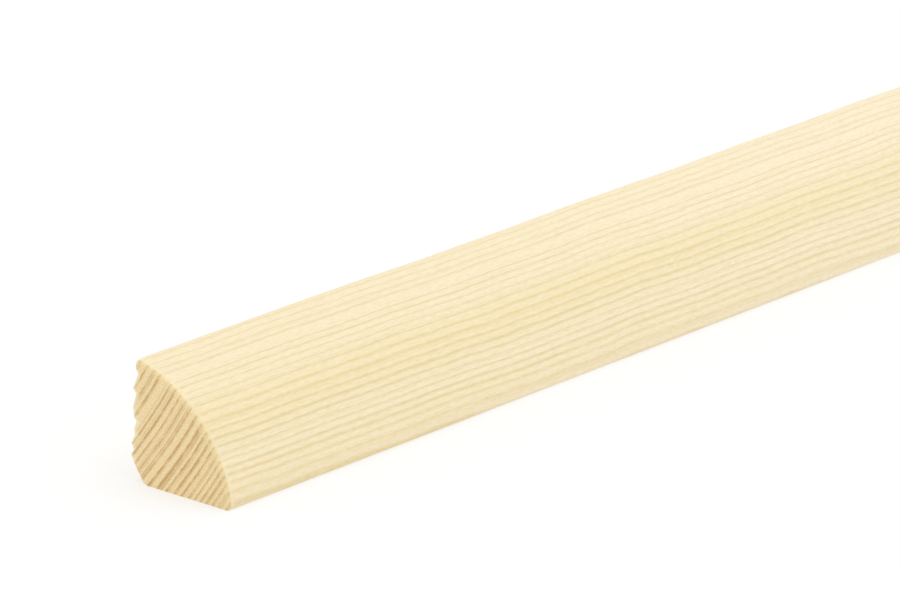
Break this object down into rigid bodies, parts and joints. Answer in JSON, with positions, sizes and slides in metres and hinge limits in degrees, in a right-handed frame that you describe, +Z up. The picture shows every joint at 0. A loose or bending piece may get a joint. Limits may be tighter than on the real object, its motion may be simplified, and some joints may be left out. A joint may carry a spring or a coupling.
{
  "type": "quarter round moulding",
  "caption": "Straight length of pine quarter round with a shallow rounded front and a cut-away back corner, sawn square at the ends, to trim an inside corner.",
  "frame": {"origin": "middle of the rectangle around the moulding, on its base", "axes": "+X along the length, +Y out of the flat back, -Y out of the rounded front, +Z up from the base"},
  "size_m": [1, 0.01, 0.01],
  "materials": {
    "pine": "planed along the length and sawn at the ends, bare"
  },
  "bodies": {
    "root": {"moulding": "pine"}
  },
  "joints": []
}
